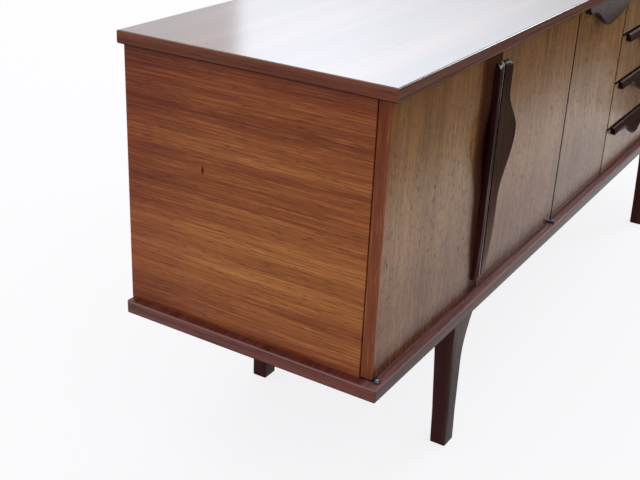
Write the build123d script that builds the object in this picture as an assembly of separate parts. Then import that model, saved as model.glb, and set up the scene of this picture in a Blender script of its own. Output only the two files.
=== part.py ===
from build123d import *
import math
import os

# A long low sideboard: a pair of doors, a deep bottle drawer and a bank of four drawers, under
# sculpted lip handles, on splayed-top legs.  Millimetres, +Z up, front towards -Y, origin on the
# floor under the middle of the top.

# Overall sizes
length = 1787.0
depth = 460.0
height = 702.0
leg_height = 242.0

# Boards
board_thick = 20.0
panel_thick = 18.0
front_thick = 19.0
back_thick = 5.0
end_overhang = 15.0
front_setback = 15.0
board_round = 2.5
front_round = 1.2
rebate_depth = 7.0
carcase_gap = 2.0
cut_over = 1.0

# Fronts
end_reveal = 1.0
front_gap = 2.5
door_width = 359.5
bottle_width = 307.0
drawer_count = 4

# Pivot hinges
hinge_plate = 1.6
hinge_play = 0.3
hinge_inset = 3.0
hinge_end_gap = 0.5
pivot_ahead = 6.5
pivot_radius = 5.0
pin_radius = 2.5
pin_head_radius = 3.8
pin_head_height = 1.6
pin_fit = 0.05
hinge_length = 40.0
hinge_width = 13.0

# Lip handles: a strip along the opening edge that swells out and forward into a finger lip
door_handle_inset = 20.0
drawer_handle_inset = 28.0
lip_width = 24.0
bottle_lip_width = 13.0
lip_rise = 11.0
lip_edge_rise = 6.0
lip_reach = 45.0
swell_rise = 9.0
swell_undercut = 12.0
swell_lead = 66.0
swell_trail = 120.0
bottle_trail = 250.0
tail_length = 145.0
tail_narrowing = 3.0
tail_lowering = 8.0
lip_edge_share = 0.65
nose_drop = 1.8
nose_back = 3.0
lead_steps = 4
trail_steps = 5
tail_steps = 2
station_gap = 5.0
end_slope = 12.0
end_land = 1.0
end_corner = 8.0
corner_over = 4.0
door_swell_at = 118.0
bottle_swell_at = 98.0
drawer_swell_at = 143.0

# Legs and bearers
leg_from_end = 270.0
leg_top_width = 46.0
leg_foot_width = 33.0
leg_lean = 11.0
leg_flare = 26.0
flare_height = 88.0
leg_top_depth = 37.0
leg_foot_depth = 28.0
leg_chamfer = 2.0
rear_leg_inset = 57.0
bearer_width = 30.0
bearer_height = 40.0
bearer_set = 7.0
tenon_length = 20.0
tenon_width = 14.0
tenon_height = 24.0
joint_fit = 0.1
screw_radius = 2.4
screw_head_radius = 4.8
screw_head_height = 3.0
screw_bite = 12.0
screw_end_margin = 45.0
screws_per_bearer = 2

# Cupboard fittings
shelf_thick = 18.0
shelf_drop = 200.0
shelf_front_gap = 40.0
shelf_side_gap = 1.0
peg_radius = 2.5
peg_length = 20.0
peg_margin = 50.0
catch_width = 36.0
catch_depth = 14.0
catch_height = 12.0
strike_thick = 1.0
strike_width = 30.0
strike_height = 11.0
catch_gap = 0.5
catch_from_edge = 30.0

# Drawers
side_thick = 12.0
side_clear = 1.2
side_lift = 8.0
side_top_drop = 19.5
bottle_side_height = 240.0
drawer_back_room = 34.0
drawer_bottom_thick = 4.0
bottom_lift = 7.0
bottom_seat = 4.0
seat_fit = 0.1
drawer_back_drop = 6.0
runner_height = 14.0
runner_thick = 8.0
runner_fit = 0.2
runner_groove = 7.4
runner_share = 0.46
runner_front = 6.0
runner_end_short = 9.0

# Places worked out from the sizes above
left = -length / 2
right = length / 2
front = -depth / 2
rear = depth / 2
base_under = leg_height
base_top = base_under + board_thick
top_under = height - board_thick
end_outer = right - end_overhang
end_inner = end_outer - panel_thick
face_front = front + front_setback
face_back = face_front + front_thick
carcase_front = face_back + carcase_gap
back_front = rear - rebate_depth
front_clear = 2 * hinge_plate + hinge_play
front_low = base_top + front_clear
front_high = top_under - front_clear
fronts_left = -end_outer + end_reveal
fronts_right = end_outer - end_reveal
left_door_x = (fronts_left, fronts_left + door_width)
right_door_x = (left_door_x[1] + front_gap, left_door_x[1] + front_gap + door_width)
bottle_x = (right_door_x[1] + front_gap, right_door_x[1] + front_gap + bottle_width)
drawer_x = (bottle_x[1] + front_gap, fronts_right)
cupboard_partition_mid = right_door_x[1] + front_gap / 2
drawer_partition_mid = bottle_x[1] + front_gap / 2
drawer_front_height = (front_high - front_low - (drawer_count - 1) * front_gap) / drawer_count
drawer_length = back_front - drawer_back_room - face_back
side_height = drawer_front_height - side_lift - side_top_drop
runner_length = drawer_length - runner_front - runner_end_short
pivot_y = face_front - pivot_ahead
front_middle = (face_front + face_back) / 2
hinge_y = (front_middle - hinge_width / 2, front_middle + hinge_width / 2)

parts = {}


def block(x, y, z):
    """A rectangular piece between two limits on each axis."""
    centre = [(low + high) / 2 for low, high in (x, y, z)]
    return Pos(*centre) * Box(x[1] - x[0], y[1] - y[0], z[1] - z[0])


def rod_x(x, y, z, radius):
    """A round bar along X between two x limits."""
    return Pos((x[0] + x[1]) / 2, y, z) * Rot(0, 90, 0) * Cylinder(radius, x[1] - x[0])


def rod_z(x, y, z, radius):
    """A round bar along Z between two z limits."""
    return Pos(x, y, (z[0] + z[1]) / 2) * Cylinder(radius, z[1] - z[0])


def mirrored(solid):
    """The same piece on the other end of the sideboard."""
    return mirror(solid, about=Plane.YZ)


def front_panel(x, z):
    """A door or drawer front with its show edges eased."""
    panel = block(x, (face_front, face_back), z)
    return fillet(panel.faces().sort_by(Axis.Y)[0].edges(), front_round)


# The case
def case_boards():
    """Top and base, rebated at the back for the back panel."""
    inner = (-end_inner - rebate_depth, end_inner + rebate_depth)
    for name, low, rebate in (
        ("top_board", top_under, (top_under - cut_over, top_under + rebate_depth)),
        ("base_board", base_under, (base_top - rebate_depth, base_top + cut_over)),
    ):
        board = block((left, right), (front, rear), (low, low + board_thick))
        board = fillet(board.edges().filter_by(Axis.Z, reverse=True), board_round)
        parts[name] = board - block(inner, (back_front, rear + cut_over), rebate)


def case_walls():
    """End panels, partitions and the back panel let into their rebates."""
    tall = (base_top, top_under)
    end = block((-end_outer, -end_inner), (carcase_front, rear), tall)
    rebate_x = (-end_inner - rebate_depth, -end_inner + cut_over)
    end -= block(rebate_x, (back_front, rear + cut_over), tall)
    parts["left_end_panel"] = end
    parts["right_end_panel"] = mirrored(end)
    for name, mid in (
        ("cupboard_partition", cupboard_partition_mid),
        ("drawer_partition", drawer_partition_mid),
    ):
        x = (mid - panel_thick / 2, mid + panel_thick / 2)
        parts[name] = block(x, (carcase_front, back_front), tall)
    seat = rebate_depth - seat_fit
    back_x = (-end_inner - seat, end_inner + seat)
    back_z = (base_top - seat, top_under + seat)
    parts["back_panel"] = block(back_x, (back_front, back_front + back_thick), back_z)


def shelf_and_pegs():
    """A loose shelf on four pegs driven into the end panel and the partition."""
    partition_face = cupboard_partition_mid - panel_thick / 2
    shelf_x = (-end_inner + shelf_side_gap, partition_face - shelf_side_gap)
    shelf_y = (carcase_front + shelf_front_gap, back_front - shelf_side_gap)
    shelf_top = top_under - shelf_drop
    shelf_low = shelf_top - shelf_thick
    parts["cupboard_shelf"] = block(shelf_x, shelf_y, (shelf_low, shelf_top))
    walls = (
        ("left_end_panel", -end_inner, 1),
        ("cupboard_partition", partition_face, -1),
    )
    pegs = []
    for wall, face, inward in walls:
        for y in (shelf_y[0] + peg_margin, shelf_y[1] - peg_margin):
            ends = sorted((face - inward * peg_length / 2, face + inward * peg_length / 2))
            z = shelf_low - peg_radius
            pegs.append(rod_x(ends, y, z, peg_radius))
            parts[wall] -= rod_x(ends, y, z, peg_radius + pin_fit)
    parts["shelf_pegs"] = Compound(children=pegs)


# The legs
def leg_profile():
    """Front view of the left leg: leaning outer edge, inner edge sweeping out into a flare."""
    x0 = left + leg_from_end
    inner_foot = x0 + leg_lean + leg_foot_width
    flare_foot = x0 + leg_top_width - (leg_lean * flare_height / leg_height) / 2
    flare_z = leg_height - flare_height
    slope = Vector(flare_foot - inner_foot, flare_z)
    flare_tip = (x0 + leg_top_width + leg_flare, leg_height)
    edges = [
        Line((x0, leg_height), (x0 + leg_lean, 0)),
        Line((x0 + leg_lean, 0), (inner_foot, 0)),
        Line((inner_foot, 0), (flare_foot, flare_z)),
        TangentArc((flare_foot, flare_z), flare_tip, tangent=slope),
        Line(flare_tip, (x0, leg_height)),
    ]
    return make_face(edges)


def legs_and_bearers():
    """Four legs, tenoned in pairs to bearers that are screwed up into the base."""
    profile = Plane.XZ * leg_profile()
    leg = Pos(0, front, 0) * extrude(profile, -leg_top_depth)
    lean = leg_height / (leg_top_depth - leg_foot_depth)
    taper = make_face(
        Polyline(
            (front + leg_foot_depth - cut_over / lean, -cut_over),
            (front + leg_top_depth + cut_over, -cut_over),
            (front + leg_top_depth + cut_over, leg_height + cut_over * lean),
            close=True,
        )
    )
    leg -= Pos(left, 0, 0) * extrude(Plane.YZ * taper, length / 2)
    upright = leg.edges().filter_by(lambda edge: edge.bounding_box().size.Z > leg_height / 4)
    leg = chamfer(upright, leg_chamfer)

    bearer_x0 = left + leg_from_end + bearer_set
    bearer_x = (bearer_x0, bearer_x0 + bearer_width)
    bearer_mid = bearer_x0 + bearer_width / 2
    rear_face = rear - rear_leg_inset
    bearer_y = (front + leg_top_depth, rear_face - leg_top_depth)
    bearer_z = (leg_height - bearer_height, leg_height)
    tenon_x = (bearer_mid - tenon_width / 2, bearer_mid + tenon_width / 2)
    tenon_mid = leg_height - bearer_height / 2
    tenon_z = (tenon_mid - tenon_height / 2, tenon_mid + tenon_height / 2)
    # The legs taper, so each shoulder is cut to the leg's own slope
    bearer = block(bearer_x, (bearer_y[0] - tenon_length, bearer_y[1] + tenon_length), bearer_z)
    for shoulder, outward in ((bearer_y[0], -1), (bearer_y[1], 1)):
        waste = make_face(
            Polyline(
                (shoulder, leg_height),
                (shoulder + outward * (tenon_length + cut_over), leg_height),
                (shoulder + outward * (tenon_length + cut_over), bearer_z[0] - cut_over),
                (shoulder + outward * (bearer_height + cut_over) / lean, bearer_z[0] - cut_over),
                close=True,
            )
        )
        cut = Pos(bearer_x[0] - cut_over, 0, 0) * extrude(Plane.YZ * waste, bearer_width + 2 * cut_over)
        keep = block(tenon_x, (shoulder - tenon_length, shoulder + tenon_length), tenon_z)
        bearer -= cut - keep
    mortise_x = (tenon_x[0] - joint_fit, tenon_x[1] + joint_fit)
    mortise_z = (tenon_z[0] - joint_fit, tenon_z[1] + joint_fit)
    mortise_end = bearer_y[0] - tenon_length - joint_fit
    leg -= block(mortise_x, (mortise_end, bearer_y[0] + cut_over), mortise_z)
    rear_shift = rear_face + front
    rear_leg = Pos(0, rear_shift, 0) * mirror(leg, about=Plane.XZ)
    rear_leg = Pos(0, rear_face - rear_leg.bounding_box().max.Y, 0) * rear_leg

    screws = []
    hole_top = base_under + screw_bite
    span = bearer_y[1] - bearer_y[0] - 2 * screw_end_margin
    for i in range(screws_per_bearer):
        y = bearer_y[0] + screw_end_margin + span * i / (screws_per_bearer - 1)
        head = rod_z(bearer_mid, y, (bearer_z[0], bearer_z[0] + screw_head_height), screw_head_radius)
        shank = rod_z(bearer_mid, y, (bearer_z[0], hole_top), screw_radius)
        screws.append(head + shank)
        bearer -= rod_z(bearer_mid, y, (bearer_z[0] - cut_over, hole_top), screw_radius + pin_fit)
        seat = (bearer_z[0] - cut_over, bearer_z[0] + screw_head_height)
        bearer -= rod_z(bearer_mid, y, seat, screw_head_radius + joint_fit)
        hole_z = (base_under - cut_over, hole_top + joint_fit)
        hole = rod_z(bearer_mid, y, hole_z, screw_radius + pin_fit)
        parts["base_board"] = parts["base_board"] - hole - mirrored(hole)
    parts["front_left_leg"] = leg
    parts["rear_left_leg"] = rear_leg
    parts["front_right_leg"] = mirrored(leg)
    parts["rear_right_leg"] = mirrored(rear_leg)
    parts["left_leg_bearer"] = bearer
    parts["right_leg_bearer"] = mirrored(bearer)
    parts["bearer_screws"] = Compound(children=screws + [mirrored(screw) for screw in screws])


# The handles
def lip_section(u, swell_at, trail, strip):
    """Width, rise and swell of the lip at a distance along it: a raised cosine and a thin tail."""
    reach = swell_lead if u < swell_at else trail
    share = min(abs(u - swell_at) / reach, 1.0)
    swell = (1 + math.cos(math.pi * share)) / 2
    tail = min(max(u - swell_at - trail, 0.0) / tail_length, 1.0) ** 2
    width = strip + (lip_reach - strip) * swell - tail_narrowing * tail
    rise = lip_rise + swell_rise * swell - tail_lowering * tail
    return width, rise, swell


def lip_stations(run, swell_at, trail):
    """Where the sections stand: close together over the swell, far apart along the tail."""
    begin = swell_at - swell_lead
    finish = min(swell_at + trail, run)
    stations = [begin + swell_lead * i / lead_steps for i in range(lead_steps)]
    stations += [swell_at + (finish - swell_at) * i / trail_steps for i in range(trail_steps)]
    stations += [finish + (run - finish) * i / tail_steps for i in range(tail_steps)]
    return [0.0] + [u for u in stations if station_gap < u < run - station_gap] + [run]


def lip_handle(run, swell_at, trail, strip, paired=False):
    """A lip handle lying along +X, its straight edge on y = 0, spreading to +Y, rising to +Z.
    A paired one has a second swell, the first mirrored about the middle of its run.
    Both ends slope down to the face, with the outer corner taken off."""
    sections = []
    stations = lip_stations(run / 2 if paired else run, swell_at, trail)
    if paired:
        stations += [run - u for u in reversed(stations[:-1])]
    for u in stations:
        d = min(u, run - u) if paired else u
        width, rise, swell = lip_section(d, swell_at, trail, strip)
        foot = width - swell_undercut * swell
        nose_top = lip_edge_rise + (rise - lip_edge_rise) * (1 - nose_back / width)
        outline = Polyline(
            (0, 0),
            (foot, 0),
            (width, rise * lip_edge_share - nose_drop),
            (width, rise - nose_drop),
            (width - nose_back, nose_top),
            (0, lip_edge_rise),
            close=True,
        )
        sections.append(Plane((u, 0, 0), x_dir=(0, 1, 0), z_dir=(1, 0, 0)) * make_face(outline))
    lip = loft(sections, ruled=True)
    top = 2 * (lip_rise + swell_rise)
    wide = 2 * lip_reach
    slope = (lip_rise - end_land) / end_slope
    for start, inward in ((0, 1), (run, -1)):
        waste = make_face(
            Polyline(
                (start - inward * cut_over, end_land - slope * cut_over),
                (start + inward * (top - end_land) / slope, top),
                (start - inward * cut_over, top),
                close=True,
            )
        )
        lip -= Pos(0, wide / 2, 0) * extrude(Plane.XZ * waste, wide / 2, both=True)
        end_width = lip_section(0 if paired else start, swell_at, trail, strip)[0]
        corner = make_face(
            Polyline(
                (start - inward * corner_over, end_width - end_corner - corner_over),
                (start + inward * (end_corner + corner_over), end_width + corner_over),
                (start - inward * corner_over, end_width + corner_over),
                close=True,
            )
        )
        lip -= extrude(corner, top, both=True)
    return lip


def on_front(lip, edge, along, spread):
    """Stands a handle on the front faces, running along, and spreading to either side."""
    if spread < 0:
        lip = mirror(lip, about=Plane.XZ)
    return Plane(edge, x_dir=along, z_dir=(0, -1, 0)) * lip


# The hinges
def door_hinge(pin_x, inward, low, up):
    """One pivot hinge: the leaf on the door's edge, and the fixed plate with its pin, which has a
    riveted head at the foot of the door and ends level with the leaf at the top."""

    def slab(bottom, hole):
        top = bottom + up * hinge_plate
        z = sorted((bottom, top))
        edge = pin_x - inward * hinge_inset
        start = edge + inward * hinge_end_gap
        x = sorted((start, edge + inward * hinge_length))
        arm_x = sorted((start, pin_x + inward * pivot_radius))
        plate = block(x, hinge_y, z)
        plate += block(arm_x, (pivot_y, front_middle), z)
        plate += rod_z(pin_x, pivot_y, z, pivot_radius)
        if hole:
            plate -= rod_z(pin_x, pivot_y, (z[0] - cut_over, z[1] + cut_over), pin_radius + pin_fit)
        return plate

    leaf_bottom = low + up * (hinge_plate + hinge_play)
    leaf = slab(leaf_bottom, True)
    leaf_top = leaf_bottom + up * hinge_plate
    plate = slab(low, False)
    plate += rod_z(pin_x, pivot_y, sorted((low, leaf_top)), pin_radius)
    if up > 0:
        head_top = leaf_top + hinge_play + pin_head_height
        plate += rod_z(pin_x, pivot_y, (leaf_top, head_top), pin_radius)
        plate += rod_z(pin_x, pivot_y, (leaf_top + hinge_play, head_top), pin_head_radius)
    return leaf, plate


def doors():
    """The pair of doors with handles at the meeting edges and pivots at the outer corners."""
    run = front_high - front_low - 2 * door_handle_inset
    handle = lip_handle(run, door_swell_at, swell_trail, lip_width)
    down = (0, 0, -1)
    lip_top = front_high - door_handle_inset
    plates = []
    for name, x, outer, inward in (
        ("left_door", left_door_x, left_door_x[0], 1),
        ("right_door", right_door_x, right_door_x[1], -1),
    ):
        parts[name] = front_panel(x, (front_low, front_high))
        meeting = x[1] if inward > 0 else x[0]
        parts[name + "_handle"] = on_front(handle, (meeting, face_front, lip_top), down, -inward)
        pin_x = outer + inward * hinge_inset
        low_leaf, low_plate = door_hinge(pin_x, inward, base_top, 1)
        high_leaf, high_plate = door_hinge(pin_x, inward, top_under, -1)
        parts[name + "_hinge_leaves"] = Compound(children=[low_leaf, high_leaf])
        plates += [low_plate, high_plate]
    parts["door_hinge_plates"] = Compound(children=plates)


# Catches
def catches():
    """Magnet blocks under the top, each facing a steel strike on the back of a door."""
    strike_y = (face_back, face_back + strike_thick)
    magnet_y = (strike_y[1] + catch_gap, strike_y[1] + catch_gap + catch_depth)
    magnet_z = (top_under - catch_height, top_under)
    strike_z = (front_high - strike_height, front_high)
    magnets = []
    for name, mid in (
        ("left_door", left_door_x[1] - catch_from_edge),
        ("right_door", right_door_x[0] + catch_from_edge),
    ):
        magnet_x = (mid - catch_width / 2, mid + catch_width / 2)
        strike_x = (mid - strike_width / 2, mid + strike_width / 2)
        magnets.append(block(magnet_x, magnet_y, magnet_z))
        parts[name + "_strike"] = block(strike_x, strike_y, strike_z)
    parts["catches"] = Compound(children=magnets)


# The drawers
def drawer(name, x, opening, z, walls, handle):
    """One drawer whose grooved sides hang on wooden runners; returns the two runners."""
    low, high = z
    parts[name + "_front"] = front_panel(x, z)
    start = (x[0] + drawer_handle_inset, face_front, high)
    parts[name + "_handle"] = on_front(handle, start, (1, 0, 0), -1)

    box_x = (opening[0] + side_clear, opening[1] - side_clear)
    box_y = (face_back, face_back + drawer_length)
    inner_x = (box_x[0] + side_thick, box_x[1] - side_thick)
    side_z = (low + side_lift, low + side_lift + walls)
    bottom_z = (side_z[0] + bottom_lift, side_z[0] + bottom_lift + drawer_bottom_thick)
    seat_x = (inner_x[0] - bottom_seat, inner_x[1] + bottom_seat)
    seat_z = (bottom_z[0] - seat_fit, bottom_z[1] + seat_fit)
    groove_low = side_z[0] + runner_share * walls
    groove_z = (groove_low, groove_low + runner_height + 2 * runner_fit)
    groove_y = (box_y[0] + runner_front - 2 * runner_fit, box_y[1] + cut_over)
    runner_y = (box_y[0] + runner_front, box_y[0] + runner_front + runner_length)
    runner_z = (groove_z[0] + runner_fit, groove_z[1] - runner_fit)
    seat = block(
        (seat_x[0] - seat_fit, seat_x[1] + seat_fit),
        (box_y[0] - cut_over, box_y[1] + cut_over),
        seat_z,
    )
    left_side = block((box_x[0], inner_x[0]), box_y, side_z) - seat
    right_side = block((inner_x[1], box_x[1]), box_y, side_z) - seat
    left_groove = block((box_x[0] - cut_over, box_x[0] + runner_groove), groove_y, groove_z)
    right_groove = block((box_x[1] - runner_groove, box_x[1] + cut_over), groove_y, groove_z)
    parts[name + "_left_side"] = left_side - left_groove
    parts[name + "_right_side"] = right_side - right_groove
    back_y = (box_y[1] - side_thick, box_y[1])
    parts[name + "_back"] = block(inner_x, back_y, (seat_z[1], side_z[1] - drawer_back_drop))
    parts[name + "_bottom"] = block(seat_x, box_y, bottom_z)
    return [
        block((opening[0], opening[0] + runner_thick), runner_y, runner_z),
        block((opening[1] - runner_thick, opening[1]), runner_y, runner_z),
    ]


def drawers():
    """The deep bottle drawer between the partitions, and the bank of drawers to its right."""
    half = panel_thick / 2
    bottle_opening = (cupboard_partition_mid + half, drawer_partition_mid - half)
    bank_opening = (drawer_partition_mid + half, end_inner)
    bottle_run = bottle_width - 2 * drawer_handle_inset
    handle = lip_handle(bottle_run, bottle_swell_at, bottle_trail, bottle_lip_width)
    front_z = (front_low, front_high)
    runners = drawer("bottle_drawer", bottle_x, bottle_opening, front_z, bottle_side_height, handle)
    bank_run = drawer_x[1] - drawer_x[0] - 2 * drawer_handle_inset
    handle = lip_handle(bank_run, drawer_swell_at, swell_trail, lip_width, paired=True)
    for i in range(drawer_count):
        high = front_high - i * (drawer_front_height + front_gap)
        z = (high - drawer_front_height, high)
        runners += drawer("drawer_%d" % (i + 1), drawer_x, bank_opening, z, side_height, handle)
    parts["drawer_runners"] = Compound(children=runners)


case_boards()
case_walls()
shelf_and_pegs()
legs_and_bearers()
doors()
catches()
drawers()

os.makedirs("parts", exist_ok=True)
for node, solid in parts.items():
    export_step(solid, "parts/%s.step" % node)
print(len(parts), "nodes")
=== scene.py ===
import bpy, math
import numpy as np
from mathutils import Matrix, Vector


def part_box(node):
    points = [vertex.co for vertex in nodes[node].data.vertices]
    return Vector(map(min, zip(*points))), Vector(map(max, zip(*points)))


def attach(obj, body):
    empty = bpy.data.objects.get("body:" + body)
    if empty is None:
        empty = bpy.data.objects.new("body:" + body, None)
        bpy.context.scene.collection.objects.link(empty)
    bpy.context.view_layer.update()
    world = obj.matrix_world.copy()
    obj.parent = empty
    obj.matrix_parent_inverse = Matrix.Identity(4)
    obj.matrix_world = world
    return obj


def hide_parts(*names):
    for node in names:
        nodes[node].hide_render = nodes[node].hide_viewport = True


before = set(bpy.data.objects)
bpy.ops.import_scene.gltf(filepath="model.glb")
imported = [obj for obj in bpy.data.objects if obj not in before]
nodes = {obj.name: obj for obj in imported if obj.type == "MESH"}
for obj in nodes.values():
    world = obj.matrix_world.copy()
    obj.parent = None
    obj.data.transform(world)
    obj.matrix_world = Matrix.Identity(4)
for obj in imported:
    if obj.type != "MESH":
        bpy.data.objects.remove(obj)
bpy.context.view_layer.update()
scene = bpy.context.scene
print("frame loaded:", len(nodes), "nodes")


# the camera, solved from the straight edges of the top, the end and the fronts
camSet = dict(place=(-2.0082, -0.7870, 1.0605), azimuth=-59.38, elevation=24.59, roll=2.75,
              lens=58.29, sensor=36.0, clip=(0.05, 100.0))


def placeCamera(s):
    # forward from azimuth and elevation, then the right and up vectors turned by the roll
    a, e, r = (math.radians(s[k]) for k in ("azimuth", "elevation", "roll"))
    forward = Vector((-math.sin(a) * math.cos(e), math.cos(a) * math.cos(e), -math.sin(e)))
    right = forward.cross(Vector((0, 0, 1))).normalized()
    up = right.cross(forward)
    rightTurned = right * math.cos(r) + up * math.sin(r)
    upTurned = up * math.cos(r) - right * math.sin(r)
    data = bpy.data.cameras.new("roomCamera")
    data.lens, data.sensor_width, data.sensor_fit = s["lens"], s["sensor"], "HORIZONTAL"
    data.clip_start, data.clip_end = s["clip"]
    cam = bpy.data.objects.new("roomCamera", data)
    turn = Matrix((rightTurned, upTurned, -forward)).transposed().to_4x4()
    cam.matrix_world = Matrix.Translation(Vector(s["place"])) @ turn
    scene.collection.objects.link(cam)
    scene.camera = cam


placeCamera(camSet)
print("camera placed")


class Wires:
    # the node tree of a material or the world, with short calls to add and join nodes
    def __init__(self, name, home=bpy.data.materials):
        self.mat = home.new(name)
        self.mat.use_nodes = True
        self.tree = self.mat.node_tree
        self.tree.nodes.clear()

    def add(self, kind, **sets):
        n = self.tree.nodes.new(kind)
        for k, v in sets.items():
            setattr(n, k, v)
        return n

    def put(self, socket, value):  # a link from another socket, or a fixed value
        if isinstance(value, bpy.types.NodeSocket):
            self.tree.links.new(value, socket)
        else:
            socket.default_value = value

    def math(self, op, a, b=0.0):
        n = self.add("ShaderNodeMath", operation=op)
        self.put(n.inputs[0], a)
        self.put(n.inputs[1], b)
        return n.outputs[0]

    def split(self, vector):
        n = self.add("ShaderNodeSeparateXYZ")
        self.put(n.inputs[0], vector)
        return dict(zip("xyz", n.outputs))

    def join(self, parts):
        n = self.add("ShaderNodeCombineXYZ")
        for socket, part in zip(n.inputs, parts):
            self.put(socket, part)
        return n.outputs[0]

    def noise(self, vector, scale, detail=2.0, rough=0.5, distort=0.0):
        m = self.add("ShaderNodeMapping")
        self.put(m.inputs["Vector"], vector)
        m.inputs["Scale"].default_value = scale
        n = self.add("ShaderNodeTexNoise")
        self.put(n.inputs["Vector"], m.outputs[0])
        n.inputs["Scale"].default_value = 1.0
        n.inputs["Detail"].default_value = detail
        n.inputs["Roughness"].default_value = rough
        n.inputs["Distortion"].default_value = distort
        return n.outputs["Fac"]

    def ramp(self, fac, stops):
        n = self.add("ShaderNodeValToRGB")
        while len(n.color_ramp.elements) < len(stops):
            n.color_ramp.elements.new(0.5)
        for el, (at, col) in zip(n.color_ramp.elements, stops):
            el.position = at
            el.color = (*col, 1.0)
        self.put(n.inputs[0], fac)
        return n.outputs[0]

    def smooth(self, value, low, high):  # 0 at low, 1 at high, eased between them
        n = self.add("ShaderNodeMapRange", interpolation_type="SMOOTHSTEP")
        self.put(n.inputs["Value"], value)
        n.inputs["From Min"].default_value = low
        n.inputs["From Max"].default_value = high
        return n.outputs[0]

    def mix(self, fac, a, b, blend="MIX"):
        n = self.add("ShaderNodeMix", data_type="RGBA", blend_type=blend)
        self.put(n.inputs[0], fac)
        for socket, v in ((n.inputs[6], a), (n.inputs[7], b)):
            self.put(socket, (*v, 1.0) if isinstance(v, tuple) else v)
        return n.outputs[2]

    def blend(self, fac, a, b):  # between two shaders
        n = self.add("ShaderNodeMixShader")
        for socket, v in zip(n.inputs, (fac, a.outputs[0], b.outputs[0])):
            self.put(socket, v)
        return n

    def bump(self, height, strength, distance):
        n = self.add("ShaderNodeBump")
        n.inputs["Strength"].default_value = strength
        n.inputs["Distance"].default_value = distance
        self.put(n.inputs["Height"], height)
        return n.outputs[0]

    def surface(self, shader):
        n = self.add("ShaderNodeOutputMaterial")
        self.put(n.inputs[0], shader.outputs[0])
        return self.mat


def srgb(r, g, b):
    # display colour in 0-255 to linear
    return tuple(((c / 255 + 0.055) / 1.055) ** 2.4 if c > 10 else c / 255 / 12.92 for c in (r, g, b))


def shades(tone, stops):
    # ramp stops that hold a share of one tone
    return [(at, tuple(c * share for c in tone)) for at, share in stops]


# what a wood has unless its own set says otherwise; a fade is the start and end of a smooth step
#   faceZones, zones: tints by place, most of them painted shade: axis, fade along it, tint, share of the
#       gloss lost
#   looks: painted reflection, highlight and shade by the way a face looks: axis and fade of the way a face
#   looks, axis and fade of its place, colour, share
#   lines: painted highlight and shade lines: axis, place on it, half width, colour, then axis and fade of the
#   way a face looks
#   lippingAndShade: axis and stops of solid edge strips, on the faces that look either way along it if lipOn,
#   or else on all but those that look up it; on the fronts the strips are darkened as painted shade of the
#   gaps
woodSet = dict(
    figure=(9.0, 9.0, 0.7), ribbon=(75, 75, 1.6), streak=(300, 300, 14.0), pore=(420, 420, 40),
    broadShare=0.5, streakDepth=0.45, paleDepth=0.3, poreDepth=0.5, pale=None,
    darkFade=(0.46, 0.66), paleFade=(0.46, 0.28), poreFade=(0.61, 0.67), endGrain=False, endFacing=0.72,
    lippingAndShade=None, lipOn=True, alongFade=(0.2, 0.45), offFade=(0.7, 0.45),
    faceZones=(), looks=(), zones=(), lines=(), lineCore=0.5, handled=None, knots=(), knotFade=(1.0, 0.3),
    rough=0.3, streakRough=0.06, poreRough=0.15, ior=1.5, specular=0.5, edgeSpecular=None,
    bump=0.12, bumpDepth=0.0004, streakBump=0.4)


def grainVector(w, s, at, facing):
    # coordinates as across, across, along the grain; edge strips on the ends run along Y
    order = {"x": "yzx", "y": "xzy", "z": "xyz"}
    v = w.join(at[k] for k in order[s["grain"]])
    if not s["endGrain"]:
        return v
    onEnd = w.math("GREATER_THAN", w.math("ABSOLUTE", facing["x"]), s["endFacing"])
    pick = w.add("ShaderNodeMix", data_type="VECTOR")
    w.put(pick.inputs[0], onEnd)
    w.put(pick.inputs[4], v)
    w.put(pick.inputs[5], w.join(at[k] for k in order["y"]))
    return pick.outputs[1]


def tinted(w, colour, zones, at, dull):
    # tints by place, most of them painted shade: darker or redder, and often duller, towards a limit on one
    # axis
    for axis, start, end, tint, *dulling in zones:
        mask = w.smooth(at[axis], start, end)
        colour = w.mix(mask, colour, w.mix(1.0, colour, tint, "MULTIPLY"))
        dull.extend(w.math("MULTIPLY", mask, share) for share in dulling)
    return colour


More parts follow.
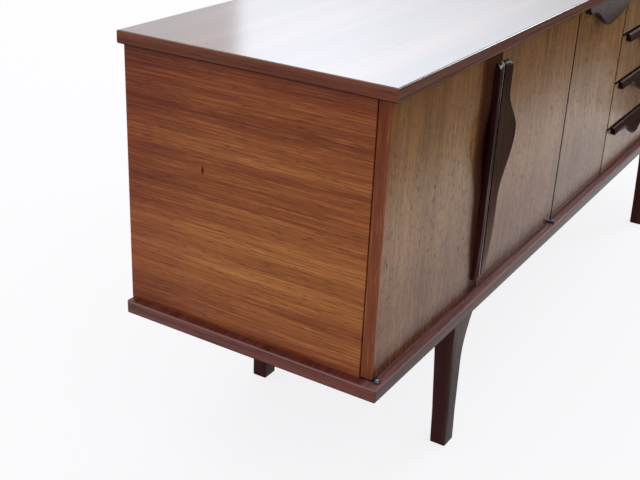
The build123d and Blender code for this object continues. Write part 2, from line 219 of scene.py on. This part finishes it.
def woodFinish(name, ownSet):
    # layers of noise stretched along the grain: broad figure and ribbon stripes make the tone, then come
    # fine streaks, short dark pores, and tints by place and by the way a face looks, most of which are
    # painted shade, highlights and reflections
    s = dict(woodSet, **ownSet)
    w = Wires(name)
    coords = w.add("ShaderNodeTexCoord").outputs
    at = w.split(coords["Object"])
    facing = w.split(coords["Normal"])  # the piece's own normal, the same when a door turns
    v = grainVector(w, s, at, facing)
    broad = w.noise(v, s["figure"], detail=3.0, rough=0.55, distort=0.35)
    ribbon = w.noise(v, s["ribbon"], detail=4.0, rough=0.6, distort=0.2)
    streak = w.noise(v, s["streak"], detail=2.0, rough=0.6)
    pores = w.noise(v, s["pore"], detail=1.0)
    share = s["broadShare"]
    tone = w.math("ADD", w.math("MULTIPLY", broad, share), w.math("MULTIPLY", ribbon, 1 - share))
    darkMask = w.math("MULTIPLY", w.smooth(streak, *s["darkFade"]), s["streakDepth"])
    paleMask = w.math("MULTIPLY", w.smooth(streak, *s["paleFade"]), s["paleDepth"])
    poreMask = w.math("MULTIPLY", w.smooth(pores, *s["poreFade"]), s["poreDepth"])
    gloss = s["specular"]
    dull = []  # masks of the places that have lost their gloss

    colour = tinted(w, w.ramp(tone, s["stops"]), s["faceZones"], at, dull)
    if s["lippingAndShade"]:
        axis, stops = s["lippingAndShade"]
        if s["lipOn"]:
            onEdge = w.smooth(w.math("ABSOLUTE", facing[axis]), *s["alongFade"])
            poreMask = w.math("MULTIPLY", poreMask, w.math("SUBTRACT", 1.0, onEdge))
        else:
            onEdge = w.smooth(facing[axis], *s["offFade"])
        colour = w.mix(onEdge, colour, w.ramp(tone, stops))
        if s["edgeSpecular"] is not None:
            gloss = w.math("ADD", w.math("MULTIPLY", onEdge, s["edgeSpecular"] - gloss), gloss)
    # painted reflection, highlight and shade, by the way a face looks and by its place
    for faces, near, tint, share in s["looks"]:
        mask = share
        for values, limits in ((facing, faces), (at, near)):
            if limits:
                mask = w.math("MULTIPLY", w.smooth(values[limits[0]], *limits[1:]), mask)
        colour = w.mix(mask, colour, tint)
    colour = w.mix(paleMask, colour, s["pale"] or s["stops"][-1][1])
    colour = w.mix(darkMask, colour, s["dark"])
    colour = w.mix(poreMask, colour, s["poreColour"])
    colour = tinted(w, colour, s["zones"], at, dull)
    for axis, middle, half, tint, *faces in s["lines"]:  # thin painted highlights and shade lines along the edges and gaps
        off = w.math("ABSOLUTE", w.math("SUBTRACT", at[axis], middle))
        mask = w.smooth(off, half, half * s["lineCore"])
        for way, *fade in faces:
            mask = w.math("MULTIPLY", mask, w.smooth(facing[way], *fade))
        dull.append(mask)
        colour = w.mix(mask, colour, tint)
    if s["handled"]:  # painted shadow and dark reflection of the lip on the door beside it: a slanted band, q = x + lean * min(z, top)
        h = s["handled"]
        q = w.math("ADD", w.math("MULTIPLY", w.math("MINIMUM", at["z"], h["top"]), h["lean"]), at["x"])
        onFront = w.math("MULTIPLY", w.smooth(facing["y"], *h["frontFade"]), h["share"])
        dull.append(w.math("MULTIPLY", w.smooth(q, h["start"], h["end"]), onFront))
        colour = w.mix(dull[-1], colour, h["tint"])
    for spot, size, tint in s["knots"]:  # small dark ovals: 1 inside the ellipse about the spot
        away = [w.math("DIVIDE", w.math("SUBTRACT", at[k], spot[k]), size[k]) for k in spot]
        oval = w.math("ADD", *(w.math("POWER", k, 2.0) for k in away))
        colour = w.mix(w.smooth(oval, *s["knotFade"]), colour, tint)

    bsdf = w.add("ShaderNodeBsdfPrincipled")
    w.put(bsdf.inputs["Base Color"], colour)
    rough = w.math("ADD", w.math("MULTIPLY", streak, s["streakRough"]), s["rough"])
    rough = w.math("ADD", rough, w.math("MULTIPLY", poreMask, s["poreRough"]))
    w.put(bsdf.inputs["Roughness"], rough)
    bsdf.inputs["IOR"].default_value = s["ior"]
    for mask in dull:
        gloss = w.math("MULTIPLY", gloss, w.math("SUBTRACT", 1.0, mask))
    w.put(bsdf.inputs["Specular IOR Level"], gloss)
    height = w.math("SUBTRACT", w.math("MULTIPLY", streak, s["streakBump"]), poreMask)
    w.put(bsdf.inputs["Normal"], w.bump(height, s["bump"], s["bumpDepth"]))
    return w.surface(bsdf)


def gapBetween(before, after, axis):
    # the middle of the gap between two fronts
    return (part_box(before)[1][axis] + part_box(after)[0][axis]) / 2


# edges and gaps of the solids that the painted lines follow
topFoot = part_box("top_board")[0][2]
baseFoot, baseTop = (c[2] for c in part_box("base_board"))
doorGap = gapBetween("right_door", "bottle_drawer_front", 0)
bankGap = gapBetween("bottle_drawer_front", "drawer_1_front", 0)
drawerGaps = [gapBetween("drawer_%d_front" % (i + 1), "drawer_%d_front" % i, 2) for i in (1, 2, 3)]
leftLipEdge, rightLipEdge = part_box("left_door_handle")[1][0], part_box("right_door_handle")[0][0]
edgeStops = [(0.3, srgb(84, 44, 32)), (0.5, srgb(106, 60, 46)), (0.7, srgb(124, 76, 59))]
topSet = dict(
    grain="x", endGrain=True, figure=(11, 11, 0.6), ribbon=(42, 42, 0.9), streak=(240, 240, 3.0),
    stops=[(0.38, srgb(70, 38, 26)), (0.5, srgb(94, 57, 40)), (0.62, srgb(122, 79, 55))],
    dark=srgb(54, 29, 19), poreColour=srgb(40, 22, 15), poreDepth=0.3, poreRough=0.0, bump=0.0,
    rough=0.13, streakRough=0.04, specular=1.0, edgeSpecular=0.05, ior=1.6,
    # the dark line along the top's lower edge is a painted shadow over the fronts
    lippingAndShade=("z", edgeStops), lipOn=False, lines=[("z", topFoot, 0.0022, srgb(26, 14, 10))],
    # faces that look forward are painted grey, a painted reflection on the front edge
    looks=[(("y", -0.5, -0.9), None, srgb(86, 66, 58), 0.7)])
endSet = dict(
    grain="y", figure=(20, 20, 0.8), ribbon=(260, 260, 3.0), streak=(720, 720, 12), pore=(620, 620, 45),
    stops=[(0.36, srgb(106, 48, 21)), (0.46, srgb(123, 63, 29)), (0.54, srgb(138, 78, 37)),
           (0.66, srgb(160, 99, 51))],
    dark=srgb(88, 37, 14), pale=srgb(196, 128, 64), poreColour=srgb(66, 28, 12), poreDepth=0.5,
    rough=0.34, specular=0.15, broadShare=0.68, streakDepth=0.48, paleDepth=0.38,
    # the zones are painted shade: darker and redder under the top and towards the back; the last makes the
    # foot bluer
    zones=[("z", 0.58, 0.69, (0.74, 0.56, 0.66)), ("y", 0.04, 0.24, (0.78, 0.62, 0.70)),
           ("z", 0.31, 0.262, (0.96, 0.90, 1.25))])
leftEndSet = dict(endSet, knots=[({"y": 0.0867, "z": 0.515}, {"y": 0.003, "z": 0.008}, srgb(58, 20, 10))])
frontSet = dict(
    grain="z", figure=(12, 12, 0.8), ribbon=(80, 80, 2.2), streak=(640, 640, 22), pore=(620, 620, 90),
    stops=[(0.36, srgb(112, 79, 47)), (0.5, srgb(128, 92, 58)), (0.64, srgb(142, 106, 70))],
    dark=srgb(84, 54, 31), pale=srgb(164, 128, 88), poreColour=srgb(38, 21, 13), poreDepth=0.85,
    rough=0.165, specular=0.23, edgeSpecular=0.1, streakDepth=0.42, paleDepth=0.36,
    # the near-black edge strips are lipping, darkened as painted shade of the gaps between the fronts
    lippingAndShade=("x", [(0.3, srgb(28, 13, 8)), (0.7, srgb(40, 20, 12))]),
    # the dark lines at the gaps are painted shade
    lines=[("x", gap, 0.0045, srgb(22, 8, 5)) for gap in (doorGap, bankGap)],
    # painted shade, darker towards the top under the overhang
    zones=[("z", 0.54, 0.678, (0.77, 0.66, 0.50))],
    # painted shade, darker and duller lower down, with a painted shadow just above the base
    faceZones=[("z", 0.47, 0.34, (0.64, 0.51, 0.47), 0.14), ("z", 0.316, 0.270, (0.47, 0.25, 0.23), 0.55)])
drawerFrontSet = dict(
    frontSet, rough=0.2, specular=0.22,
    stops=[(0.36, srgb(112, 82, 53)), (0.5, srgb(128, 96, 64)), (0.64, srgb(142, 109, 76))],
    # painted shade: darker under the top, a painted shadow above the base, and dark painted lines in the gaps
    zones=[("z", 0.56, 0.678, (0.86, 0.78, 0.68))],
    faceZones=[("z", 0.312, 0.270, (0.50, 0.30, 0.28), 0.5)],
    lines=frontSet["lines"][1:] + [("z", gap, 0.004, srgb(28, 12, 8)) for gap in drawerGaps])
leftDoorSet = dict(
    frontSet, specular=0.22, lines=[],
    lippingAndShade=("x", [(0.3, srgb(97, 47, 30)), (0.5, srgb(121, 67, 43)), (0.7, srgb(140, 84, 55))]),
    zones=frontSet["zones"] + [("x", -0.845, -0.876, (0.97, 0.84, 0.78))],
    # a painted shadow and dark reflection of the left door's lip, as a dark maroon band beside it
    handled=dict(lean=0.136, top=0.52, start=-0.535, end=-0.502, frontFade=(-0.3, -0.7), share=0.88,
                 tint=srgb(44, 13, 11)))
baseSet = dict(
    grain="x", endGrain=True, streak=(260, 260, 7.0), streakDepth=0.6, rough=0.28, specular=0.2,
    stops=[(0.3, srgb(76, 34, 29)), (0.5, srgb(98, 48, 41)), (0.7, srgb(116, 62, 53))],
    dark=srgb(50, 22, 18), poreColour=srgb(36, 18, 14), poreDepth=0.4,
    # the pale line along the top edge is a painted highlight; the dark line along the foot is painted shade
    lines=[("z", baseTop - 0.0020, 0.0014, srgb(124, 92, 89)),
           ("z", baseFoot - 0.0025, 0.0020, srgb(50, 36, 36))],
    # the grey on the front faces is a painted reflection, and the paler pink on the ledge behind the front is
    # painted light
    looks=[(("y", -0.5, -0.9), None, srgb(56, 43, 41), 0.85),
           (("z", 0.5, 0.9), ("y", -0.200, -0.212), srgb(132, 92, 88), 0.75)])
legSet = dict(
    baseSet, grain="z", endGrain=False, rough=0.36, specular=0.06, lines=[],
    stops=[(0.3, srgb(42, 17, 15)), (0.5, srgb(54, 22, 20)), (0.7, srgb(66, 30, 27))],
    # painted reflection: the front of each leg greyer, and paler high on the front
    looks=[(None, ("y", -0.219, -0.231), srgb(58, 42, 40), 0.7),
           (("y", -0.35, -0.95), None, srgb(50, 43, 42), 0.85),
           (("y", -0.35, -0.95), ("z", 0.10, 0.235), srgb(80, 69, 66), 0.85)])
leftHandleSet = dict(
    grain="z", rough=0.2, figure=(24, 24, 1.2), specular=0.05,
    stops=[(0.3, srgb(40, 16, 13)), (0.5, srgb(54, 24, 20)), (0.7, srgb(68, 34, 28))],
    dark=srgb(30, 14, 10), poreColour=srgb(24, 11, 8), poreDepth=0.3, bump=0.03,
    # the pale line along the lip's edge at the gap is a painted highlight
    lines=[("x", leftLipEdge - 0.0006, 0.0028, srgb(184, 166, 154), ("y", -0.1, -0.45))],
    # the first zone is painted shade with a bluish painted sheen, darker and bluer up the swell; the second
    # only takes gloss away
    zones=[("z", 0.34, 0.50, (0.6, 0.6, 0.66)), ("z", 0.46, 0.38, (1.0, 1.0, 1.0), 0.9)])
rightHandleSet = dict(
    # the dark line along the lip's edge at the gap is painted shade
    leftHandleSet, lines=[("x", rightLipEdge + 0.0005, 0.0016, srgb(14, 6, 5))],
    stops=[(0.3, srgb(54, 35, 28)), (0.5, srgb(70, 47, 38)), (0.7, srgb(86, 60, 48))],
    # the zones are painted shade: darker and cooler above the middle, darker still under the top
    zones=[("z", 0.34, 0.50, (0.66, 0.72, 0.75)), ("z", 0.56, 0.66, (0.5, 0.5, 0.55))])
levelHandleSet = dict(
    rightHandleSet, grain="x", zones=[], lines=[],
    stops=[(0.3, srgb(38, 23, 19)), (0.5, srgb(50, 32, 26)), (0.7, srgb(62, 42, 34))],
    # the near-black on the ends that face left is painted shade
    looks=[(("x", -0.12, -0.5), None, srgb(18, 8, 7), 0.95)])
liningSet = dict(
    grain="x", rough=0.45, dark=srgb(128, 84, 54), poreColour=srgb(96, 62, 40), poreDepth=0.35,
    stops=[(0.3, srgb(150, 104, 68)), (0.5, srgb(170, 124, 84)), (0.7, srgb(186, 142, 100))])
partitionSet = dict(
    liningSet, grain="z", lippingAndShade=("y", [(0.3, srgb(44, 24, 15)), (0.7, srgb(60, 34, 22))]))
drawerSet = dict(
    grain="y", rough=0.55, dark=srgb(170, 134, 96), poreColour=srgb(140, 106, 74), poreDepth=0.25,
    stops=[(0.3, srgb(190, 158, 116)), (0.5, srgb(206, 176, 134)), (0.7, srgb(218, 190, 150))])
woodSets = dict(
    topWood=topSet, endVeneer=endSet, leftEndVeneer=leftEndSet, frontVeneer=frontSet,
    drawerVeneer=drawerFrontSet, leftDoorVeneer=leftDoorSet, baseWood=baseSet, legWood=legSet,
    bearerWood=dict(legSet, grain="y"), leftHandle=leftHandleSet, rightHandle=rightHandleSet,
    levelHandle=levelHandleSet, lining=liningSet, partitionWood=partitionSet, drawerSide=drawerSet,
    drawerBack=dict(drawerSet, grain="x"))
finishes = {name: woodFinish(name, s) for name, s in woodSets.items()}

# the pale up-facing patches are partly rubbed wear and partly a painted highlight on the top
steelSet = dict(tone=srgb(74, 78, 88), wornLit=srgb(160, 168, 180), scratch=(900, 900, 60),
                blotch=(70, 70, 70), blotchStops=[(0.3, 0.72), (0.65, 1.0)], patch=(160, 160, 160),
                patchFade=(0.44, 0.6), upFade=(0.5, 0.95), wornLitDull=0.8, rough=0.2, scratchRough=0.2)
catchSet = dict(tone=srgb(72, 52, 42), peel=(600, 600, 600), peelStops=[(0.3, 0.85), (0.7, 1.0)],
                rough=0.5, bump=0.08, bumpDepth=0.0003)


def metalFinish(name, s):
    # drawn metal: fine scratches by stretched noise in the roughness, blotches in the colour; patches of
    # what looks up are pale and dull, partly rubbed wear and partly a painted highlight on the top
    w = Wires(name)
    coords = w.add("ShaderNodeTexCoord").outputs
    up = w.split(coords["Normal"])["z"]
    scratch = w.noise(coords["Object"], s["scratch"])
    blotch = w.noise(coords["Object"], s["blotch"], detail=3.0)
    patch = w.noise(coords["Object"], s["patch"], detail=1.0)
    rubbedLit = w.math("MULTIPLY", w.smooth(up, *s["upFade"]), w.smooth(patch, *s["patchFade"]))
    colour = w.mix(rubbedLit, w.ramp(blotch, shades(s["tone"], s["blotchStops"])), s["wornLit"])
    bsdf = w.add("ShaderNodeBsdfPrincipled")
    w.put(bsdf.inputs["Base Color"], colour)
    w.put(bsdf.inputs["Metallic"], w.math("SUBTRACT", 1.0, w.math("MULTIPLY", rubbedLit, s["wornLitDull"])))
    w.put(bsdf.inputs["Roughness"], w.math("ADD", w.math("MULTIPLY", scratch, s["scratchRough"]), s["rough"]))
    return w.surface(bsdf)


def plasticFinish(name, s):
    # moulded plastic with a faint orange peel
    w = Wires(name)
    peel = w.noise(w.add("ShaderNodeTexCoord").outputs["Object"], s["peel"])
    bsdf = w.add("ShaderNodeBsdfPrincipled")
    w.put(bsdf.inputs["Base Color"], w.ramp(peel, shades(s["tone"], s["peelStops"])))
    bsdf.inputs["Roughness"].default_value = s["rough"]
    w.put(bsdf.inputs["Normal"], w.bump(peel, s["bump"], s["bumpDepth"]))
    return w.surface(bsdf)


finishes["steel"] = metalFinish("steel", steelSet)
finishes["catchPlastic"] = plasticFinish("catchPlastic", catchSet)

# a node takes the finish under its own name, or else the one under its last word
nodeFinish = {
    "top_board": "topWood", "base_board": "baseWood", "back_panel": "lining",
    "left_end_panel": "leftEndVeneer", "right_end_panel": "endVeneer", "left_door": "leftDoorVeneer",
    "right_door": "frontVeneer", "bottle_drawer_front": "frontVeneer",
    "left_door_handle": "leftHandle", "right_door_handle": "rightHandle",
}
wordFinish = {
    "front": "drawerVeneer", "handle": "levelHandle", "leg": "legWood", "bearer": "bearerWood",
    "partition": "partitionWood", "shelf": "lining", "side": "drawerSide", "bottom": "drawerSide",
    "back": "drawerBack", "runners": "drawerSide", "pegs": "drawerSide", "catches": "catchPlastic",
    "screws": "steel", "plates": "steel", "leaves": "steel", "strike": "steel",
}
for node, solid in nodes.items():
    finish = nodeFinish.get(node) or wordFinish[node.split("_")[-1]]
    solid.data.materials.clear()
    solid.data.materials.append(finishes[finish])
print("finishes on", len(nodes), "nodes")


def ringPiece(name, spot, turned, s, finish):
    # rings of points, row after row, joined by quads, with a cap on the first and the last; the faces are
    # turned over when the rings run the other way about, and edges past the sharp angle stay crisp
    rows, cols = spot.shape[:2]
    grid = np.arange(rows * cols).reshape(rows, cols)
    ring = np.roll(grid, -1, 1)
    quads = np.stack([grid[:-1], ring[:-1], ring[1:], grid[1:]], 2).reshape(-1, 4)
    caps = [grid[0][::-1], grid[-1]]
    if turned:
        quads, caps = quads[:, ::-1], [cap[::-1] for cap in caps]
    mesh = bpy.data.meshes.new(name)
    mesh.from_pydata(spot.reshape(-1, 3).tolist(), [], quads.tolist() + [cap.tolist() for cap in caps])
    smooth = np.ones(len(mesh.polygons), bool)
    smooth[len(quads):] = not s["flatCaps"]
    mesh.polygons.foreach_set("use_smooth", smooth)
    mesh.set_sharp_from_angle(angle=math.radians(s["sharp"]))
    mesh.update()
    mesh.materials.append(finish)
    piece = bpy.data.objects.new(name, mesh)
    scene.collection.objects.link(piece)
    return piece


# the lip handles as smooth surfaces over the plainer solids; sizes in metres, along the run and across it
lipSet = dict(width=0.024, rise=0.011, edgeRise=0.006, reach=0.045, swellRise=0.009,
              undercut=0.012, lead=0.066, trail=0.120, tail=0.145, tailNarrow=0.003, tailLower=0.008,
              edgeShare=0.65, noseDrop=0.0018, endLand=0.001, endSlope=0.008, slopeTop=0.03, slopeSoft=0.0004,
              endCorner=0.007, endKeep=0.98, corners=(0.0003, 0.0015, 0.0020, 0.0021, 0.0016),
              cornerShare=0.48, endRun=0.018, endSteps=14, midSteps=110, arcSteps=7, sharp=50, flatCaps=False)
lipPlaces = [
    dict(node="left_door_handle", body="left_door_leaf", swellAt=0.118, along=(0, 0, -1), spread=(-1, 0, 0)),
    dict(node="right_door_handle", body="right_door_leaf", swellAt=0.118, along=(0, 0, -1), spread=(1, 0, 0)),
    dict(node="bottle_drawer_handle", body="bottle_drawer", swellAt=0.098, trail=0.250, width=0.013,
         along=(1, 0, 0), spread=(0, 0, -1)),
] + [dict(node="drawer_%d_handle" % i, body="drawer_%d" % i, swellAt=0.143, paired=True, width=0.018,
          endCorner=0.013, corners=(0.0003, 0.0040, 0.0060, 0.0065, 0.0050),
          along=(1, 0, 0), spread=(0, 0, -1)) for i in range(1, 5)]


def lipPiece(p):
    # section across the run: five corners, each rounded by a parabola; the width and rise follow a
    # raised cosine over the swell, then thin along the tail; both ends are cut off on a slope
    s = dict(lipSet, **p)
    low, high = (np.array(c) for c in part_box(s["node"]))
    along, spread, forward = (np.array(k, float) for k in (s["along"], s["spread"], (0, -1, 0)))
    # the run starts at one corner of the solid's box, on the face of the front
    start = np.where(along > 0, low, np.where(along < 0, high, np.where(spread > 0, low, high)))
    run = float(np.abs((high - low) @ along))
    u = np.concatenate([np.linspace(0, s["endRun"], s["endSteps"])[:-1],
                        np.linspace(s["endRun"], run - s["endRun"], s["midSteps"])[:-1],
                        np.linspace(run - s["endRun"], run, s["endSteps"])])
    nearEnd = np.minimum(u, run - u)
    d = nearEnd if s.get("paired") else u
    reach = np.where(d < s["swellAt"], s["lead"], s["trail"])
    swell = (1 + np.cos(np.pi * np.minimum(np.abs(d - s["swellAt"]) / reach, 1))) / 2
    thin = np.clip((d - s["swellAt"] - s["trail"]) / s["tail"], 0, 1) ** 2
    width = s["width"] + (s["reach"] - s["width"]) * swell - s["tailNarrow"] * thin
    fromEnd = np.clip(1 - nearEnd / s["endCorner"], 0, 1)
    width = width - s["endCorner"] * (1 - np.sqrt(1 - fromEnd ** 2 * s["endKeep"]))
    rise = s["rise"] + s["swellRise"] * swell - s["tailLower"] * thin
    none = np.zeros_like(u)
    across = np.stack([none, width - s["undercut"] * swell, width, width, none], 1)
    out = np.stack([none, none, rise * s["edgeShare"] - s["noseDrop"], rise, none + s["edgeRise"]], 1)
    corner = np.stack([across, out], 2)
    before, after = np.roll(corner, 1, 1) - corner, np.roll(corner, -1, 1) - corner
    spanBefore, spanAfter = (np.linalg.norm(k, axis=2, keepdims=True) for k in (before, after))
    size = np.array(s["corners"])[None, :, None]
    first = (corner + before * np.minimum(size / spanBefore, s["cornerShare"]))[:, :, None]
    last = (corner + after * np.minimum(size / spanAfter, s["cornerShare"]))[:, :, None]
    t = np.linspace(0, 1, s["arcSteps"])[None, None, :, None]
    curve = (1 - t) ** 2 * first + 2 * t * (1 - t) * corner[:, :, None] + t ** 2 * last
    side, height = np.moveaxis(curve.reshape(len(u), -1, 2), 2, 0)
    # under the end slope, by a soft minimum of the height and the slope's limit
    limit = s["endLand"] + (s["rise"] - s["endLand"]) * nearEnd[:, None] / s["endSlope"]
    cut = 0.5 * (height + limit - np.sqrt((height - limit) ** 2 + s["slopeSoft"] ** 2))
    height = np.maximum(np.where(limit > s["slopeTop"], height, cut), 0)
    spot = start + u[:, None, None] * along + side[:, :, None] * spread + height[:, :, None] * forward
    turned = np.dot(np.cross(along, spread), forward) < 0
    name = s["node"].replace("_handle", "_lip")
    piece = ringPiece(name, spot, turned, s, nodes[s["node"]].data.materials[0])
    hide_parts(s["node"])
    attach(piece, s["body"])


for place in lipPlaces:
    lipPiece(place)
print("lip handles made:", len(lipPlaces))


def roundedRings(left, right, front, back, corner, steps):
    # at each level a rectangle whose four corners, in turn, are quarter circles
    left, right, front, back, corner = (k[:, None] for k in (left, right, front, back, corner))
    quarter = np.repeat(np.arange(4), steps)
    angle = np.tile(np.linspace(0, np.pi / 2, steps), 4) + quarter * np.pi / 2
    isRight, isBack = (quarter == 0) | (quarter == 3), quarter < 2
    x = np.where(isRight, right - corner, left + corner) + corner * np.cos(angle)
    y = np.where(isBack, back - corner, front + corner) + corner * np.sin(angle)
    return x, y


# the legs as smooth shapes over the plainer solids: sizes in metres, from the outer top corner inwards
legShape = dict(topWidth=0.046, footWidth=0.033, lean=0.011, flare=0.026, flareHeight=0.088,
                topDepth=0.037, footDepth=0.028, round=0.0055, footRound=0.002, topRound=0.002,
                roundFrom=0.07, chamfer=0.001, stemSteps=26, flareSteps=34, arcSteps=7, sharp=35,
                flatCaps=False)


def legPiece(node, s):
    # a rectangle with round corners carried up the leg: the outer edge leans, the inner edge is straight,
    # then an arc tangent to it sweeps out under the base; the depth tapers and the corners sharpen at
    # both ends
    low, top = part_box(node)
    high = top[2]
    bend = high - s["flareHeight"]
    z = np.concatenate([[0], np.linspace(s["chamfer"], bend, s["stemSteps"]),
                        np.linspace(bend, high, s["flareSteps"])[1:]])
    outer = s["lean"] * (1 - z / high)
    foot = np.array([s["lean"] + s["footWidth"], 0.0])
    knee = np.array([s["topWidth"] - s["lean"] * s["flareHeight"] / high / 2, bend])
    tip = np.array([s["topWidth"] + s["flare"], high])
    rise = (knee - foot) / np.linalg.norm(knee - foot)
    normal = np.array([rise[1], -rise[0]])
    radius = np.dot(tip - knee, tip - knee) / 2 / np.dot(tip - knee, normal)
    middle = knee + radius * normal
    straight = foot[0] + (knee[0] - foot[0]) * z / bend
    swept = middle[0] - np.sqrt(np.maximum(radius ** 2 - (z - middle[1]) ** 2, 0))
    inner = np.where(z <= bend, straight, swept)
    depth = s["footDepth"] + (s["topDepth"] - s["footDepth"]) * z / high
    near = np.clip(np.stack([high - z, z]) / s["roundFrom"], 0, 1)
    fromTop, fromFoot = near ** 2 * (3 - 2 * near)
    corner = (s["topRound"] * (1 - fromTop) + s["footRound"] * (1 - fromFoot)
              + s["round"] * (fromTop + fromFoot - 1))
    inset = np.maximum(s["chamfer"] - z, 0)
    across, deep = roundedRings(outer + inset, inner - inset, inset, depth - inset, corner, s["arcSteps"])
    isLeft, isFront = "left" in node, "front" in node
    x = low[0] + across if isLeft else top[0] - across
    y = low[1] + deep if isFront else top[1] - deep
    spot = np.stack([x, y, np.broadcast_to(z[:, None], x.shape)], 2)
    name = node.replace("_leg", "_shaped_leg")
    piece = ringPiece(name, spot, isLeft != isFront, s, finishes["legWood"])
    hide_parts(node)
    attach(piece, "carcase")


legNodes = [node for node in nodes if node.endswith("_leg")]
for node in legNodes:
    legPiece(node, legShape)
print("legs made:", len(legNodes))

# the base board, a little thicker below than the plainer solid; sizes in metres
baseShape = dict(below=0.003, round=0.0025, cornerRound=0.003, arcSteps=6, sharp=35, flatCaps=True)


def basePiece(node, s):
    # a rectangle with round corners carried up through the thickness, its outline drawn in along a quarter
    # circle at the foot and again at the top
    low, high = (np.array(c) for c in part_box(node))
    low[2] -= s["below"]
    turn = np.linspace(0, np.pi / 2, s["arcSteps"])
    inset = s["round"] * np.concatenate([1 - np.sin(turn), 1 - np.cos(turn)])
    z = np.concatenate([low[2] + s["round"] * (1 - np.cos(turn)), high[2] - s["round"] * (1 - np.sin(turn))])
    x, y = roundedRings(low[0] + inset, high[0] - inset, low[1] + inset, high[1] - inset,
                        s["cornerRound"] - inset, s["arcSteps"])
    spot = np.stack([x, y, np.broadcast_to(z[:, None], x.shape)], 2)
    piece = ringPiece("shaped_" + node, spot, False, s, finishes["baseWood"])
    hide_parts(node)
    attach(piece, "carcase")


basePiece("base_board", baseShape)
print("base board made")


def flatPiece(name, corners):
    # one face through four corners
    mesh = bpy.data.meshes.new(name)
    mesh.from_pydata(corners, [], [(0, 1, 2, 3)])
    piece = bpy.data.objects.new(name, mesh)
    scene.collection.objects.link(piece)
    return piece


def seenDirectly(w):
    # 1 for camera, mirror and glass rays
    path = w.add("ShaderNodeLightPath")
    both = w.math("MAXIMUM", path.outputs["Is Camera Ray"], path.outputs["Is Glossy Ray"])
    return w.math("MAXIMUM", both, path.outputs["Is Transmission Ray"])


floorSet = dict(size=30.0, tone=(0.88, 0.872, 0.885), patch=(1.2, 1.2, 1.2),
                patchStops=[(0.3, 0.985), (0.7, 1.0)], glow=(1.0, 0.985, 1.0, 1), white=0.82)


def layFloor(s):
    # pale paint; the camera and reflections see it part way to white, so that it still keeps the shadow
    h = s["size"] / 2
    floor = flatPiece("floor", [(-h, -h, 0), (h, -h, 0), (h, h, 0), (-h, h, 0)])
    w = Wires("floorPaint")
    patch = w.noise(w.add("ShaderNodeTexCoord").outputs["Object"], s["patch"], detail=3.0)
    paint, glow = w.add("ShaderNodeBsdfDiffuse"), w.add("ShaderNodeEmission")
    w.put(paint.inputs[0], w.ramp(patch, shades(s["tone"], s["patchStops"])))
    glow.inputs[0].default_value = s["glow"]
    seen = w.math("MULTIPLY", seenDirectly(w), s["white"])
    floor.data.materials.append(w.surface(w.blend(seen, paint, glow)))


layFloor(floorSet)

skySet = dict(level=1.0, horizon=1.18, tone=(0.95, 0.98, 1.0, 1), seen=(1, 1, 1, 1))


def hangSky(s):
    # white to the camera, mirrors and glass, a soft overcast dome to everything else
    w = Wires("studio", bpy.data.worlds)
    scene.world = w.mat
    white, dome = w.add("ShaderNodeBackground"), w.add("ShaderNodeBackground")
    white.inputs[0].default_value = s["seen"]
    dome.inputs[0].default_value = s["tone"]
    height = w.add("ShaderNodeMapRange")
    w.put(height.inputs["Value"], w.split(w.add("ShaderNodeTexCoord").outputs["Generated"])["z"])
    height.inputs["To Min"].default_value = s["horizon"]
    height.inputs["To Max"].default_value = s["level"]
    w.put(dome.inputs[1], height.outputs[0])
    sky = w.blend(seenDirectly(w), dome, white)
    w.put(w.add("ShaderNodeOutputWorld").inputs[0], sky.outputs[0])


hangSky(skySet)

cardTop = 20.0  # the level that a full ramp stands for
cardSets = [
    dict(name="windowCard", low=(5.456, 4.576, 1.45), high=(7.126, 0.824, 1.45), rise=2.5, dark=False,
         tone=(0.915, 0.975, 1.055), lift=(2.35, 0.6),
         levels=[(0.0, 2.45), (0.22, 2.45), (0.34, 2.3), (0.45, 2.2), (0.55, 2.05), (0.634, 1.85),
                 (1.0, 1.0)]),
    dict(name="frontWindow", low=(2.99, -1.77, 1.48), high=(3.21, -1.11, 1.48), rise=0.7, dark=False,
         tone=(0.86, 0.94, 1.0), levels=[(0.0, 17.0), (1.0, 17.0)]),
    dict(name="backCard", low=(3.2, 6.0, 1.0), high=(5.456, 4.576, 1.0), rise=3.0, dark=False,
         tone=(1.0, 1.0, 1.05), levels=[(0.0, 1.25), (1.0, 1.25)]),
    dict(name="frontFlag", low=(-0.4, -0.74, 0.07), high=(6.0, -0.74, 0.07), rise=0.53, dark=True,
         tone=(1.0, 1.0, 1.1), levels=[(0.0, 0.02), (1.0, 0.02)]),
    dict(name="sideFlag", low=(1.0, -0.45, 0.16), high=(1.0, 0.3, 0.16), rise=0.44, dark=True,
         tone=(1.0, 1.0, 1.1), levels=[(0.0, 0.02), (1.0, 0.02)]),
]


def standCard(s):
    # an upright card off camera: windows give light, dark flags are seen only in reflections; its
    # level changes along its foot from low to high
    low, high, up = Vector(s["low"]), Vector(s["high"]), Vector((0, 0, s["rise"]))
    card = flatPiece(s["name"], [low, high, high + up, low + up])
    w = Wires(s["name"])
    place = w.add("ShaderNodeTexCoord").outputs["Object"]
    way = high - low
    along = w.add("ShaderNodeVectorMath", operation="DOT_PRODUCT")
    w.put(along.inputs[0], place)
    along.inputs[1].default_value = way / way.length_squared
    share = w.math("SUBTRACT", along.outputs["Value"], low.dot(way) / way.length_squared)
    level = w.ramp(share, [(at, (value / cardTop,) * 3) for at, value in s["levels"]])
    level = w.math("MULTIPLY", level, cardTop)
    if s.get("lift"):  # brighter higher up: level * (1 + gain * (z - middle))
        middle, gain = s["lift"]
        lift = w.math("ADD", w.math("MULTIPLY", w.split(place)["z"], gain), 1 - gain * middle)
        level = w.math("MULTIPLY", level, lift)
    glow = w.add("ShaderNodeEmission")
    glow.inputs[0].default_value = (*s["tone"], 1)
    w.put(glow.inputs[1], level)
    card.data.materials.append(w.surface(glow))
    card.visible_camera = card.visible_shadow = False
    if s["dark"]:
        card.visible_diffuse = card.visible_transmission = False


for card in cardSets:
    standCard(card)
print("floor and light set")

scene.view_settings.view_transform = "Standard"
